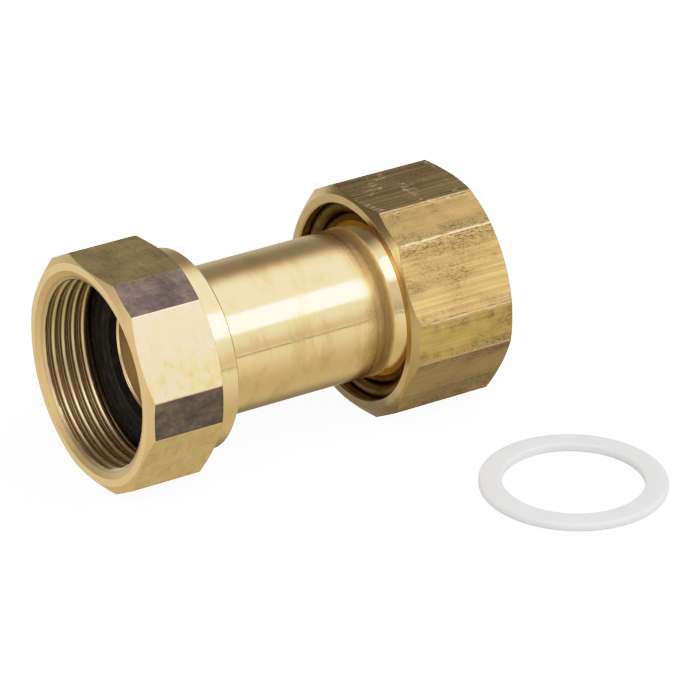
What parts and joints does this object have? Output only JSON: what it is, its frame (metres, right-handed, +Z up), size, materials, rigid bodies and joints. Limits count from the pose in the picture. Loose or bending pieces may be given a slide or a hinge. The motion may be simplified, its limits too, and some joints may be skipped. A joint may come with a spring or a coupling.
{
  "type": "double union fitting",
  "caption": "Straight brass pipe coupling: a flanged sleeve with a swivelling internally threaded union nut at each end, a seated rubber gasket and a loose flat gasket.",
  "frame": {"origin": "on the common axis, where the left nut's thread starts inside its mouth chamfer", "axes": "+X along the common axis from the left mouth to the right mouth, +Z up with the nuts resting on their lower wide flats"},
  "size_m": [0.1011, 0.0986, 0.047],
  "materials": {
    "turned_brass": "bare, turned, with fine rings",
    "milled_brass": "bare, milled flats, dark raw skin on the corner facets",
    "drawn_brass": "bare, drawn, with lengthwise die lines and brown oxide",
    "brass_wire": "drawn wire, dull",
    "black_rubber": "matte",
    "white_plastic": "smooth, slightly translucent"
  },
  "bodies": {
    "sleeve": {"sleeve": "turned_brass", "rubber_gasket": "black_rubber", "flat_gasket": "white_plastic"},
    "left_nut": {"left_union_nut": "milled_brass"},
    "snap_ring": {"snap_ring": "brass_wire"},
    "right_nut": {"right_union_nut": "drawn_brass"}
  },
  "joints": [
    {"name": "left_nut_spin", "type": "hinge", "parent": "sleeve", "child": "left_nut", "pos_m": [0, 0, 0], "axis": [1, 0, 0], "continuous": true},
    {"name": "right_nut_slide", "type": "slide", "parent": "sleeve", "child": "snap_ring", "axis": [-1, 0, 0], "range_m": [0, 0.039]},
    {"name": "right_nut_spin", "type": "hinge", "parent": "snap_ring", "child": "right_nut", "pos_m": [0.06584, 0, 0], "axis": [1, 0, 0], "continuous": true}
  ]
}
